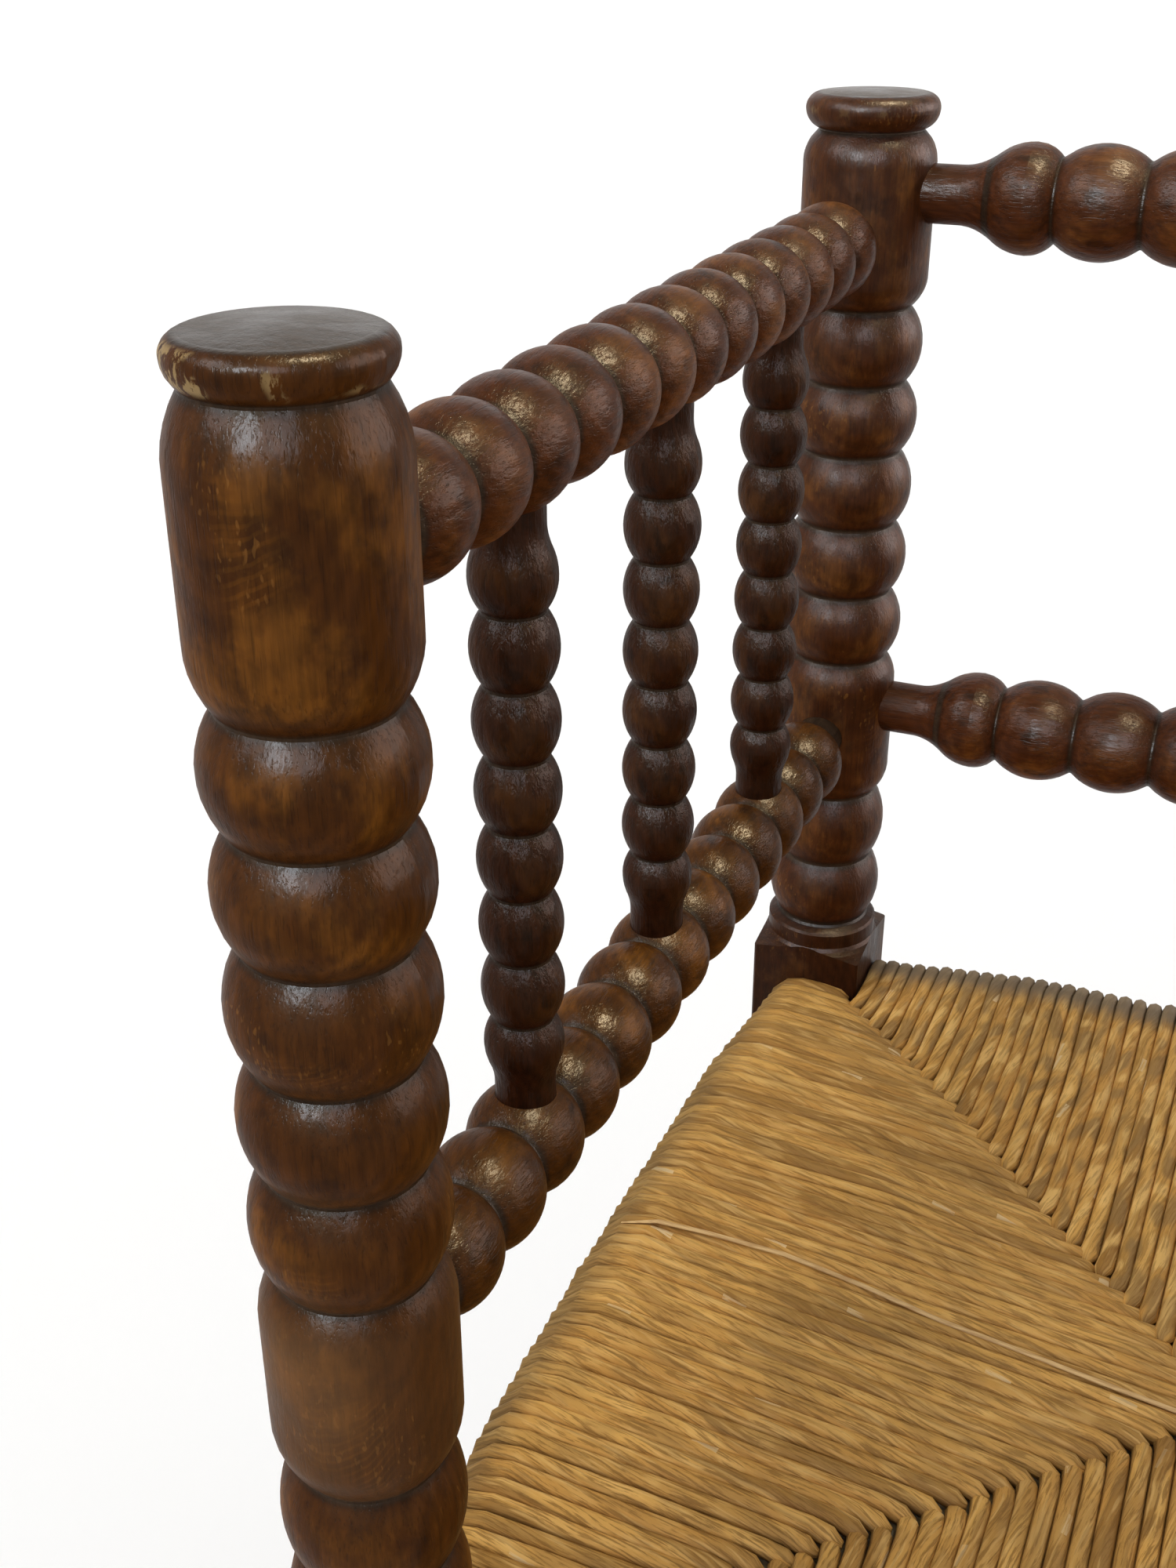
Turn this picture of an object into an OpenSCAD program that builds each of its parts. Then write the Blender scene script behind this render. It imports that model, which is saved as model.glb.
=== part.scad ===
// Bobbin bench: a two-seat bench with a rush seat, made of turned posts, rails, spindles and stretchers.
// It stands on z = 0, the front faces -Y and the width runs along X. All sizes are in millimetres.

/* [Posts] */
// Height of the four posts
post_h = 782; // [760:1:860]
// Diameter of the posts, and the side of their square seat blocks
post_d = 45; // [42:0.5:50]
// Diameter at the bottom of the grooves between the balls of a post
post_groove_d = 36.2; // [34:0.2:39]
// Mean length of one ball of a post below the arm and below the seat
post_ball = 27.2; // [24:0.1:28]
// Mean length of the two balls between the lower arm rail and the seat
waist_ball = 28.85; // [26:0.05:30]
// Length of the plain blocks that the rails and stretchers enter
post_block = 60; // [56:1:64]
// Diameter of the flat caps on the front posts
front_cap_d = 41.5; // [40:0.5:46]
// Diameter of the flat caps on the rear posts
rear_cap_d = 46.3; // [42:0.1:48]

/* [Arms] */
// Number of bobbins on an arm rail, which sets the depth of the bench
arm_bobbins = 13; // [9:4:17]
// Spacing of the bobbins on the arm rails and the stretchers
arm_pitch = 24.6; // [23:0.1:26]
// Diameter of the arm rails and the stretchers
arm_rail_d = 32; // [28:0.5:33]
// Height of the axis of the top arm rail
arm_top_z = 735.4; // [732:0.1:740]
// Height of the axis of the lower arm rail
arm_low_z = 544.6; // [540:0.1:548]

/* [Back] */
// Number of bobbins on a back rail, which sets the width of the bench
back_bobbins = 29; // [21:4:33]
// Spacing of the bobbins on the back rails
back_pitch = 29; // [28:0.1:30]
// Diameter of the back rails
back_rail_d = 38.4; // [34:0.2:40]
// Height of the axis of the top back rail
back_top_z = 748.8; // [746:0.1:751]
// Height of the axis of the lower back rail
back_low_z = 553.2; // [550:0.1:556]

/* [Spindles] */
// Diameter of the balls of a spindle
spindle_d = 21.8; // [19:0.2:23]
// Length of one ball of a spindle
spindle_ball = 18.75; // [18:0.05:19.5]

/* [Seat] */
// Height of the top of the rush over the seat rails
seat_z = 440; // [436:1:442]
// Diameter of the hidden seat rails
seat_rail_d = 30; // [26:0.5:32]
// Thickness of the rush that is wound over the rails
rush_t = 6; // [5:0.5:7]
// Depth of the hollow in the middle of the seat
seat_sag = 9; // [0:1:12]

/* [Hidden] */
// Every fourth bobbin of a rail, from the third on, carries a spindle
spindle_bobbins = 4;
arm_spindles = (arm_bobbins - 1) / spindle_bobbins;
back_spindles = (back_bobbins - 1) / spindle_bobbins;

$fn = 72;

stained_wood = "#4a2c1a";
raw_wood = "#a9855a";
rush = "#b08a4c";
packing = "#8f7a4a";

post_r = post_d / 2;
groove_r = post_groove_d / 2;
// A groove ends in a narrow flat land, so the core stands this much proud of the meeting of two arcs
land = 0.25;

// From a post's axis to the first bobbin: behind a vase on a back rail, and closer to the front posts
// than to the rear ones on an arm rail
back_first = 81;
arm_first = 37.8;
arm_last = 47;
bench_w = 2 * back_first + (back_bobbins - 1) * back_pitch;
bench_d = arm_first + arm_last + (arm_bobbins - 1) * arm_pitch;
half_w = bench_w / 2;
half_d = bench_d / 2;

// Round tenons stop short of the post's axis, so that two at a right angle never meet
tenon_end = 10.2;
socket_end = 9.8;
fit_gap = 0.1;
rail_neck_r = 9;
back_neck_r = 10;
seat_tenon_r = 9;

// A spindle is one length for the arms and the back, so the rails stand that far apart
spindle_neck_r = 8.1;
spindle_len = 180.4;
foot_tenon = 10.2;

// Heights down a post, from the waist balls to the foot
z_waist = post_h - 71 - post_block - 5 * post_ball - 2 * waist_ball;
z_seat_block = 374;
z_upper_block = z_seat_block - 3 * post_ball - post_block;
z_lower_block = z_upper_block - 3 * post_ball - post_block;
z_foot = z_lower_block - 2 * post_ball;

// Side stretchers sit low in their blocks and the long ones high, as the arm and back rails do
stretcher_step = 5;
z_upper = z_upper_block + post_block / 2;
z_lower = z_lower_block + post_block / 2;

seat_rail_z = seat_z - rush_t - seat_rail_d / 2;
roll_r = rush_t + seat_rail_d / 2;

// How the front and the rear posts were turned by hand above the seat: top, cap height, cap radius, radius
// of the cap's rim, shoulder of the blocks and of the end under the cap, radius of the top block and of its
// balls, then the balls from the waist up and from the arm up as shares of their mean lengths
front_turning = [post_h - 2.5, 10, front_cap_d / 2, 3.8, [12.8, 14.5], post_r - 0.1, post_r + 0.1,
                 [0.96, 1.127], [1.055, 0.998, 1.026, 0.965, 0.948]];
rear_turning = [post_h, 12.6, rear_cap_d / 2, 5, [11, 11], post_r + 0.8, post_r + 0.7,
                [0.968, 1.053], [0.989, 1, 1.022, 0.956, 1]];

// How far behind the crown of its bobbin each arm spindle was drilled in by hand, from the front
hand_drilling = [0.9, -2.4, -1.8, 0.6];
arm_drilling = [for (i = [1:arm_spindles]) hand_drilling[i - 1]];

// Sum of the first n values of a list, and a list of count equal values
function sum_of(v, n) = n < 1 ? 0 : v[n - 1] + sum_of(v, n - 1);
function equal(count, len) = [for (i = [1:count]) len];

// Length of arc_r in which a circle of that radius falls by drop
function run_of(arc_r, drop) = sqrt(2 * arc_r * drop - drop * drop);

// Radius of the arc that falls by drop over half of len
function arc_of(len, drop) = (len * len / 4 + drop * drop) / (2 * drop);

// Half profile of one turned ball about height 0, its flanks cut off at -below and above
module ball_profile(crown_r, root_r, len, below, above) {
    arc_r = arc_of(len, crown_r - root_r);
    intersection() {
        translate([crown_r - arc_r, 0]) circle(r = arc_r);
        translate([root_r / 2, -below]) square([crown_r, below + above]);
    }
}

// A row of balls from height 0 up, one for each length, on a core that fills the grooves to their lands
module ball_row(crown_r, root_r, lens) {
    overlap = 0.05;
    square([root_r + land, sum_of(lens, len(lens))]);
    for (i = [0:len(lens) - 1])
        translate([0, sum_of(lens, i) + lens[i] / 2])
            ball_profile(crown_r, root_r, lens[i], lens[i] / 2 + overlap, lens[i] / 2 + overlap);
}

// A plain block from height 0 up. shoulders holds how far the rounding down to the groove reaches at its
// lower and its upper end
module block_profile(crown_r, root_r, len, shoulders) {
    relief = 0.03;
    square([root_r + land, len]);
    translate([0, shoulders[0]]) square([crown_r - relief, len - shoulders[0] - shoulders[1]]);
    for (end = [[shoulders[0], shoulders[0]], [len - shoulders[1], shoulders[1]]])
        translate([0, end[0]]) ball_profile(crown_r, root_r, 2 * end[1], end[1], end[1]);
}

// The hollow sweep from a neck out to the flank of a vase: it starts at height 0, has meet_r at len
// and then runs on, less steeply, until it is inside the vase. A negative len runs down
module sweep_profile(neck_r, meet_r, len) {
    steps = 8;
    run_in = 3 * sign(len);
    rise = 0.9 * (meet_r - neck_r) / len * run_in;
    outline = concat(
        [for (i = [0:steps]) [neck_r + (meet_r - neck_r) * pow(i / steps, 2), len * i / steps]],
        [[meet_r + rise, len + run_in], [neck_r / 2, len + run_in], [neck_r / 2, 0]]
    );
    last = len(outline) - 1;
    polygon([for (i = [0:last]) outline[len > 0 ? i : last - i]]);
}

// Profile of a flat round cap, from its groove up: it flares to a rim under a low dome
module cap_profile(cap_h, cap_r, rim_r) {
    flare_r = 6.9;
    relief = 0.02;
    widest = 0.54 * cap_h;
    dome_rise = cap_h - widest - rim_r;
    dome_run = cap_r - rim_r;
    dome_r = (dome_run * dome_run + dome_rise * dome_rise) / (2 * dome_rise);
    square([groove_r + land, 0.8]);
    square([cap_r - flare_r, cap_h - 1.5 * dome_rise]);
    intersection() {
        translate([cap_r - flare_r - relief, widest]) circle(r = flare_r);
        square([cap_r + 1, widest]);
    }
    intersection() {
        translate([cap_r - rim_r, widest]) circle(r = rim_r);
        translate([0, widest - 1]) square([cap_r + 1, cap_h]);
    }
    intersection() {
        translate([0, cap_h - dome_r]) circle(r = dome_r);
        translate([0, widest]) square([dome_run + 0.3, cap_h]);
    }
}

// The foot, from the floor up: a short toe under one last ball
module foot_profile() {
    toe_h = 9;
    toe_r = 15.5;
    toe_foot_r = 14;
    polygon([[0, 0], [toe_foot_r, 0], [toe_r, 1.5], [toe_r, toe_h + 2], [0, toe_h + 2]]);
    translate([0, toe_h]) ball_row(post_r, groove_r, [z_foot - toe_h]);
}

// The round part of a post below its seat block
module leg_profile() {
    shoulders = [10, 10];
    balls = equal(3, post_ball);
    foot_profile();
    translate([0, z_foot]) ball_row(post_r, groove_r, equal(2, post_ball));
    translate([0, z_lower_block]) block_profile(post_r, groove_r, post_block, shoulders);
    translate([0, z_lower_block + post_block]) ball_row(post_r, groove_r, balls);
    translate([0, z_upper_block]) block_profile(post_r, groove_r, post_block, shoulders);
    translate([0, z_upper_block + post_block]) ball_row(post_r, groove_r, balls);
}

// The round part of a post above its seat block, with the turned sizes given
module upper_profile(turning) {
    shoulders = turning[4];
    block_r = turning[5];
    ball_r = turning[6];
    waist = turning[7] * waist_ball;
    balls = turning[8] * post_ball;
    z_cap = turning[0] - turning[1];
    z_arm_block = z_cap - post_block;
    z_balls = z_arm_block - sum_of(balls, len(balls));
    z_low_block = z_waist + sum_of(waist, len(waist));
    translate([0, z_waist]) ball_row(post_r, groove_r, waist);
    translate([0, z_low_block])
        block_profile(post_r + 0.1, groove_r, z_balls - z_low_block, [shoulders[0], shoulders[0]]);
    translate([0, z_balls]) ball_row(ball_r, groove_r, balls);
    translate([0, z_arm_block]) block_profile(block_r, groove_r, post_block, shoulders);
    translate([0, z_cap]) cap_profile(turning[1], turning[2], turning[3]);
}

// The turned outline that the seat block is cut to. At each end a cove runs out to a collar, and below
// that shoulders slope out to the worn corners
module seat_block_limit() {
    height = z_waist - z_seat_block;
    collar_r = post_r - 0.15;
    worn_r = 1.387 * post_r;
    cut = [[groove_r, 0], [groove_r + 0.9, 1.3], [collar_r - 0.9, 2.7], [collar_r, 3.6], [collar_r, 9.6],
           [post_r + 0.9, 11], [post_r + 3, 11.9], [worn_r, 13.4]];
    last = len(cut) - 1;
    polygon(concat([[0, 0]], cut, [for (i = [last:-1:0]) [cut[i][0], height - cut[i][1]]], [[0, height]]));
}

// One socket for a round tenon, pointing from the axis of a post along turn degrees about Z
module socket(z, turn, tenon_r) {
    translate([0, 0, z]) rotate([0, 90, turn]) translate([0, 0, socket_end])
        cylinder(r = tenon_r + fit_gap, h = post_d);
}

// One post about its own axis, on one core as thick as its grooves. side is the direction of the side rails
// and along that of the long rails; long_rails holds [height, tenon radius] for each long rail that enters it
module post(turning, side, along, long_rails) {
    color(stained_wood) difference() {
        union() {
            rotate_extrude() {
                translate([0, z_foot]) square([groove_r + land, turning[0] - turning[1] + 0.5 - z_foot]);
                leg_profile();
                upper_profile(turning);
            }
            intersection() {
                translate([-post_r, -post_r, z_seat_block]) cube([post_d, post_d, z_waist - z_seat_block]);
                translate([0, 0, z_seat_block]) rotate_extrude() seat_block_limit();
            }
        }
        for (z = [arm_top_z, arm_low_z, z_upper - stretcher_step, z_lower - stretcher_step])
            socket(z, side, rail_neck_r);
        socket(seat_rail_z, side, seat_tenon_r);
        for (rail = long_rails)
            socket(rail[0], along, rail[1]);
    }
}

front_rails = [[seat_rail_z, seat_tenon_r], [z_upper + stretcher_step, rail_neck_r],
               [z_lower + stretcher_step, rail_neck_r]];
rear_rails = [[seat_rail_z, seat_tenon_r], [z_lower + stretcher_step, rail_neck_r],
              [back_top_z, back_neck_r], [back_low_z, back_neck_r]];

module front_left_post() { translate([-half_w, -half_d, 0]) post(front_turning, 90, 0, front_rails); }
module front_right_post() { translate([half_w, -half_d, 0]) post(front_turning, 90, 180, front_rails); }
module rear_left_post() { translate([-half_w, half_d, 0]) post(rear_turning, -90, 0, rear_rails); }
module rear_right_post() { translate([half_w, half_d, 0]) post(rear_turning, -90, 180, rear_rails); }

// The grooves of the thin rails
rail_r = arm_rail_d / 2;
rail_groove_r = 0.69 * rail_r;

// Sockets for spindles in a rail that lies along Z, on every fourth bobbin from the third, each off by its
// value in drilling. turn points them at the spindles, and depth is how far their floor is from the axis
module spindle_sockets(first, pitch, drilling, turn, depth) {
    for (i = [0:len(drilling) - 1])
        translate([0, 0, first + (2 + i * spindle_bobbins) * pitch + drilling[i]]) rotate([0, 90, turn])
            translate([0, 0, depth - 0.3]) cylinder(r = spindle_neck_r + fit_gap, h = post_d);
}

// A thin rail or stretcher along Z, centred, for posts span apart, with a plain neck at each end. Its row of
// bobbins is moved by shift
module thin_rail(span, count, shift) {
    neck = span / 2 - tenon_end;
    row = count * arm_pitch;
    flank = run_of(arc_of(arm_pitch, rail_r - rail_groove_r), rail_r - rail_neck_r + 0.4);
    rotate_extrude() {
        translate([0, -neck]) square([rail_neck_r, 2 * neck]);
        translate([0, shift - row / 2]) ball_row(rail_r, rail_groove_r, equal(count, arm_pitch));
        translate([0, shift]) for (s = [0, 1]) mirror([0, s])
            translate([0, (row - arm_pitch) / 2])
                ball_profile(rail_r, rail_groove_r, arm_pitch, arm_pitch / 4, flank);
    }
}

// Depth of the spindle sockets in the arm rails and the back rails, from their axes
arm_socket = (arm_top_z - arm_low_z - spindle_len) / 2;
back_socket = (back_top_z - back_low_z - spindle_len) / 2;

// An arm rail at its place: x is the post line, z its height, turn points its sockets up or down
module arm_rail(x, z, turn) {
    color(stained_wood) translate([x, 0, z]) rotate([-90, 0, 0]) difference() {
        thin_rail(bench_d, arm_bobbins, (arm_first - arm_last) / 2);
        translate([0, 0, -half_d])
            spindle_sockets(arm_first, arm_pitch, arm_drilling, turn, arm_socket);
    }
}

module left_arm_top_rail() { arm_rail(-half_w, arm_top_z, 90); }
module left_arm_lower_rail() { arm_rail(-half_w, arm_low_z, -90); }
module right_arm_top_rail() { arm_rail(half_w, arm_top_z, 90); }
module right_arm_lower_rail() { arm_rail(half_w, arm_low_z, -90); }

// A back rail along X: a neck, a vase and then the row of bobbins, the same from both ends
module back_rail(z, turn) {
    crown_r = back_rail_d / 2;
    root_r = 13.95;
    vase_r = 18.6;
    vase_at = 57;
    vase_tail = 2 * run_of(18.7, vase_r - root_r);
    tail = 11.4;
    sweep = 12.6;
    row = back_bobbins * back_pitch;
    groove_at = half_w - row / 2;
    color(stained_wood) translate([0, half_d, z]) rotate([0, 90, 0]) difference() {
        rotate_extrude() {
            translate([0, -half_w + tenon_end]) square([back_neck_r, bench_w - 2 * tenon_end]);
            translate([0, -row / 2]) ball_row(crown_r, root_r, equal(back_bobbins, back_pitch));
            for (s = [0, 1]) mirror([0, s]) translate([0, -half_w]) {
                translate([0, vase_at])
                    ball_profile(vase_r, root_r, 2 * (groove_at - vase_at), 0.05, groove_at - vase_at + 0.05);
                translate([0, vase_at]) ball_profile(vase_r, root_r, vase_tail, tail + 0.2, 0.05);
                translate([0, vase_at]) square([root_r + land, back_first - vase_at]);
                translate([0, vase_at - tail - sweep]) sweep_profile(back_neck_r, 14.65, sweep);
            }
        }
        translate([0, 0, -half_w])
            spindle_sockets(back_first, back_pitch, equal(back_spindles, 0), turn, back_socket);
    }
}

module back_top_rail() { back_rail(back_top_z, 0); }
module back_lower_rail() { back_rail(back_low_z, 180); }

// Half a vase beyond the last ball of a spindle, which ends at height 0: a short flank up to the crown at
// rise, a longer one past it and a hollow sweep into the neck
module vase_profile(crown_r, root_r, rise) {
    tail = 6.5;
    tail_len = 2 * run_of(17, crown_r - root_r);
    sweep = 6.2;
    square([root_r + land, rise]);
    translate([0, rise]) ball_profile(crown_r, root_r, 2 * rise, rise + 0.05, 0.05);
    translate([0, rise]) ball_profile(crown_r, root_r, tail_len, 0.05, tail + 0.2);
    translate([0, rise + tail + sweep]) sweep_profile(spindle_neck_r, crown_r - 1.3, -sweep);
}

// One spindle along Z from height 0: a plain foot, a small vase, six balls, a longer vase and a neck
module spindle() {
    root_r = 7.8;
    balls = equal(6, spindle_ball);
    foot = foot_tenon + 23.6;
    top = foot + sum_of(balls, len(balls));
    color(stained_wood) rotate_extrude() {
        square([spindle_neck_r, foot - 7]);
        translate([0, foot]) mirror([0, 1]) vase_profile(10.6, root_r, 7.7);
        translate([0, foot]) ball_row(spindle_d / 2, root_r, balls);
        translate([0, top]) vase_profile(10.7, root_r, 8.2);
        translate([0, top + 7]) square([spindle_neck_r, spindle_len - top - 7]);
    }
}

// An arm spindle, counted from the front, on the side given by the sign s
module arm_spindle(s, i) {
    y = -half_d + arm_first + (2 + (i - 1) * spindle_bobbins) * arm_pitch + arm_drilling[i - 1];
    translate([s * half_w, y, arm_low_z + arm_socket]) spindle();
}

// A back spindle, counted from the left
module back_spindle(i) {
    x = -half_w + back_first + (2 + (i - 1) * spindle_bobbins) * back_pitch;
    translate([x, half_d, back_low_z + back_socket]) spindle();
}

// A plain seat rail along Z, centred, for posts span apart: it thins towards a round tenon at each end
module seat_rail(span) {
    face = span / 2 - post_r - fit_gap;
    full_r = seat_rail_d / 2;
    taper = 110;
    color(raw_wood) rotate_extrude() {
        translate([0, -span / 2 + tenon_end]) square([seat_tenon_r, span - 2 * tenon_end]);
        polygon([[0, -face], [seat_tenon_r, -face], [full_r, taper - face], [full_r, face - taper],
                 [seat_tenon_r, face], [0, face]]);
    }
}

module front_seat_rail() { translate([0, -half_d, seat_rail_z]) rotate([0, 90, 0]) seat_rail(bench_w); }
module back_seat_rail() { translate([0, half_d, seat_rail_z]) rotate([0, 90, 0]) seat_rail(bench_w); }
module left_seat_rail() { translate([-half_w, 0, seat_rail_z]) rotate([-90, 0, 0]) seat_rail(bench_d); }
module right_seat_rail() { translate([half_w, 0, seat_rail_z]) rotate([-90, 0, 0]) seat_rail(bench_d); }

// How far the seat has sunk at the distance d inside the rail line: nothing there, all of it in the middle
function sag_at(d) = seat_sag * (1 - cos(180 * min(1, max(0, d) / half_d))) / 2;

// Four corners of a rectangle d inside the line of the seat rails, at height z
corners = [[-1, -1], [1, -1], [1, 1], [-1, 1]];
function ring(d, z) = [for (c = corners) [c[0] * (half_w - d), c[1] * (half_d - d), z]];

// [inset, height] down the section of a rush shell whose roll about the rails has the radius r:
// from the middle of the top, over the rail and back to the middle underneath
mid_gap = 4;
top_insets = [half_d - mid_gap, 150, 120, 90, 60, 35, 15];
under_insets = [15, 60, 120, half_d - mid_gap];
under_sag = 0.4;
function shell_section(r) = concat(
    [for (d = top_insets) [d, seat_rail_z + r - sag_at(d)]],
    [for (a = [90:-15:-90]) [-r * cos(a), seat_rail_z + r * sin(a)]],
    [for (d = under_insets) [d, seat_rail_z - r - under_sag * sag_at(d)]]
);

// A closed body of mitred rectangles, one for each point of a section
module mitred_body(section) {
    n = len(section);
    points = [for (p = section) each ring(p[0], p[1])];
    sides = [for (k = [0:n - 2]) for (c = [0:3])
        let (a = 4 * k + c, b = 4 * k + (c + 1) % 4) each [[a, b, b + 4], [a, b + 4, a + 4]]];
    polyhedron(points, concat([[3, 2, 1], [3, 1, 0]], sides,
        [[4 * n - 4, 4 * n - 3, 4 * n - 2], [4 * n - 4, 4 * n - 2, 4 * n - 1]]));
}

// The rush skin, wound over the four rails and open at the corners for the blocks of the posts
module rush_seat() {
    notch = post_d + 1;
    color(rush) difference() {
        mitred_body(shell_section(roll_r));
        mitred_body(shell_section(seat_rail_d / 2 + 0.3));
        for (sx = [-1, 1]) for (sy = [-1, 1])
            translate([sx * half_w - notch / 2, sy * half_d - notch / 2, seat_rail_z - 2 * roll_r])
                cube([notch, notch, 4 * roll_r]);
    }
}

// The rush that is packed between the upper and the lower layer, clear of the rails
module rush_stuffing() {
    clear = 0.3;
    inset = post_r + 1.5;
    half_t = seat_rail_d / 2 - clear;
    insets = [half_d - mid_gap - clear, 150, 120, 90, 60, 35, inset];
    color(packing) mitred_body(concat(
        [for (d = insets) [d, seat_rail_z + half_t - sag_at(d)]],
        [for (k = [len(insets) - 1:-1:0]) [insets[k], seat_rail_z - half_t - under_sag * sag_at(insets[k])]]
    ));
}

// A side stretcher at height z, and a long one on the side given by the sign s
long_bobbins = 2 * floor((bench_w - post_d - 14) / arm_pitch / 2) + 1;
module side_stretcher(s, z) {
    color(stained_wood) translate([s * half_w, 0, z - stretcher_step]) rotate([-90, 0, 0])
        thin_rail(bench_d, arm_bobbins, 0);
}
module long_stretcher(s, z) {
    color(stained_wood) translate([0, s * half_d, z + stretcher_step]) rotate([0, 90, 0])
        thin_rail(bench_w, long_bobbins, 0);
}

front_left_post();
front_right_post();
rear_left_post();
rear_right_post();
left_arm_top_rail();
left_arm_lower_rail();
right_arm_top_rail();
right_arm_lower_rail();
for (i = [1:arm_spindles]) arm_spindle(-1, i);
for (i = [1:arm_spindles]) arm_spindle(1, i);
back_top_rail();
back_lower_rail();
for (i = [1:back_spindles]) back_spindle(i);
front_seat_rail();
back_seat_rail();
left_seat_rail();
right_seat_rail();
rush_seat();
rush_stuffing();
side_stretcher(-1, z_upper);  // left_upper_stretcher
side_stretcher(-1, z_lower);  // left_lower_stretcher
side_stretcher(1, z_upper);  // right_upper_stretcher
side_stretcher(1, z_lower);  // right_lower_stretcher
long_stretcher(-1, z_upper);  // front_upper_stretcher
long_stretcher(-1, z_lower);  // front_lower_stretcher
long_stretcher(1, z_lower);  // back_stretcher
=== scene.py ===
import math
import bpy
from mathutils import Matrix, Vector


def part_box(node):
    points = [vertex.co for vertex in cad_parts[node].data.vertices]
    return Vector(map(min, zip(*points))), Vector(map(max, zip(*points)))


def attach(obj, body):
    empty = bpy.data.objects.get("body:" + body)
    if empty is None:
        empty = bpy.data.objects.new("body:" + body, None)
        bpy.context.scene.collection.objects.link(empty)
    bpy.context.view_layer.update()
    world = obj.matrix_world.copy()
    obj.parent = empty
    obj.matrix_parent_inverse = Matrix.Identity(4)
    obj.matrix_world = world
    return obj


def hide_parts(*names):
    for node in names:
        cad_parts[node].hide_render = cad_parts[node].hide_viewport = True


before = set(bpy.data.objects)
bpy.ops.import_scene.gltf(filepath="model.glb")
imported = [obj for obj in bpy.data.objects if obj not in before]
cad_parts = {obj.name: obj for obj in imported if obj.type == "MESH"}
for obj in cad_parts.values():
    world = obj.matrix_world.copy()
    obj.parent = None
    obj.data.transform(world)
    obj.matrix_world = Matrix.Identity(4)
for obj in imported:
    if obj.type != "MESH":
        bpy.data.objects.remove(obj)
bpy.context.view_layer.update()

from types import SimpleNamespace

import bpy
import numpy as np
from mathutils import Matrix, Vector


def member_centre(name):
    low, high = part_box(name)
    return (low + high) / 2


# Places from the frame, in metres and to a tenth of a millimetre: the lines of the posts, the axis of the
# seat rails, and the radius of the rolls of rush about them
HALF_W = round(member_centre("rear_right_post").x, 4)
HALF_D = round(member_centre("rear_right_post").y, 4)
RAIL_Z = round(member_centre("left_seat_rail").z, 4)
ROLL_R = round(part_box("rush_seat")[1].z - RAIL_Z, 4)

# Half the side of a square seat block, the radius and spacing of the rush cords, and how far the seat sinks.
# UNDER_SAG is the share of that sinking that the under side follows
POST_R = 0.0225
CORD_R = 0.00295
CORD_PITCH = 0.0057
SEAT_SAG = 0.009
UNDER_SAG = 0.4

# How far the seat is drawn in beside a post: most of it close by, the rest over a longer stretch
CORNER_DRAW = 0.0043
CORNER_STRETCH = 0.080
SLOW_DRAW = 0.0015
SLOW_STRETCH = 0.150


def nothing_selected():
    if bpy.context.mode != "OBJECT":
        bpy.ops.object.mode_set(mode="OBJECT")
    bpy.ops.object.select_all(action="DESELECT")


nothing_selected()
bpy.context.scene.view_settings.view_transform = "Standard"

# Camera
CAMERA_PLACE = (-0.31743, -0.4482, 0.8459)
view_turn = Matrix.Rotation(math.radians(23.57), 4, "Z")
view_pitch = Matrix.Rotation(math.radians(90 - 26.92), 4, "X")
view_roll = Matrix.Rotation(math.radians(-0.29), 4, "Z")
camera_data = bpy.data.cameras.new("camera")
camera = bpy.data.objects.new("camera", camera_data)
bpy.context.scene.collection.objects.link(camera)
camera.matrix_world = Matrix.Translation(CAMERA_PLACE) @ view_turn @ view_pitch @ view_roll
camera_data.sensor_fit = "VERTICAL"
camera_data.sensor_height = 36
camera_data.lens = 40.78
camera_data.clip_start = 0.02
camera_data.clip_end = 200
bpy.context.scene.camera = camera


# Node helpers
def feed(tree, node, inputs):
    for key, value in dict(inputs).items():
        if isinstance(value, bpy.types.NodeSocket):
            tree.links.new(value, node.inputs[key])
        else:
            node.inputs[key].default_value = value


def add(tree, kind, inputs=(), **settings):
    made = tree.nodes.new("ShaderNode" + kind)
    for key, value in settings.items():
        setattr(made, key, value)
    feed(tree, made, inputs)
    return made


def reckon(tree, operation, a, b=0.0, c=0.0):
    return add(tree, "Math", {0: a, 1: b, 2: c}, operation=operation).outputs[0]


def times(tree, first, *others):
    for other in others:
        first = reckon(tree, "MULTIPLY", first, other)
    return first


def plus_share(tree, first, share, second):
    return reckon(tree, "MULTIPLY_ADD", second, share, first)


def wave(tree, value, length):
    return reckon(tree, "SINE", times(tree, value, 2 * math.pi / length))


def vector(tree, x, y, z=0.0):
    return add(tree, "CombineXYZ", {0: x, 1: y, 2: z}).outputs[0]


def split(tree, value):
    return add(tree, "SeparateXYZ", {0: value}).outputs


def length_of(tree, value):
    return add(tree, "VectorMath", {0: value}, operation="LENGTH").outputs["Value"]


def span(tree, value, low, high, to_low=0.0, to_high=1.0, ease="SMOOTHSTEP"):
    inputs = {"Value": value, "From Min": low, "From Max": high, "To Min": to_low, "To Max": to_high}
    return add(tree, "MapRange", inputs, interpolation_type=ease).outputs[0]


def blended(tree, share, first, second, how="MIX"):
    inputs = {0: share, 6: first, 7: second}
    return add(tree, "Mix", inputs, data_type="RGBA", blend_type=how).outputs[2]


def noise(tree, place, scale, detail=2.0, rough=0.5):
    inputs = {"Vector": place, "Scale": scale, "Detail": detail, "Roughness": rough}
    return add(tree, "TexNoise", inputs).outputs["Fac"]


def white_noise(tree, place):
    return add(tree, "TexWhiteNoise", {"Vector": place}, noise_dimensions="3D").outputs


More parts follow.
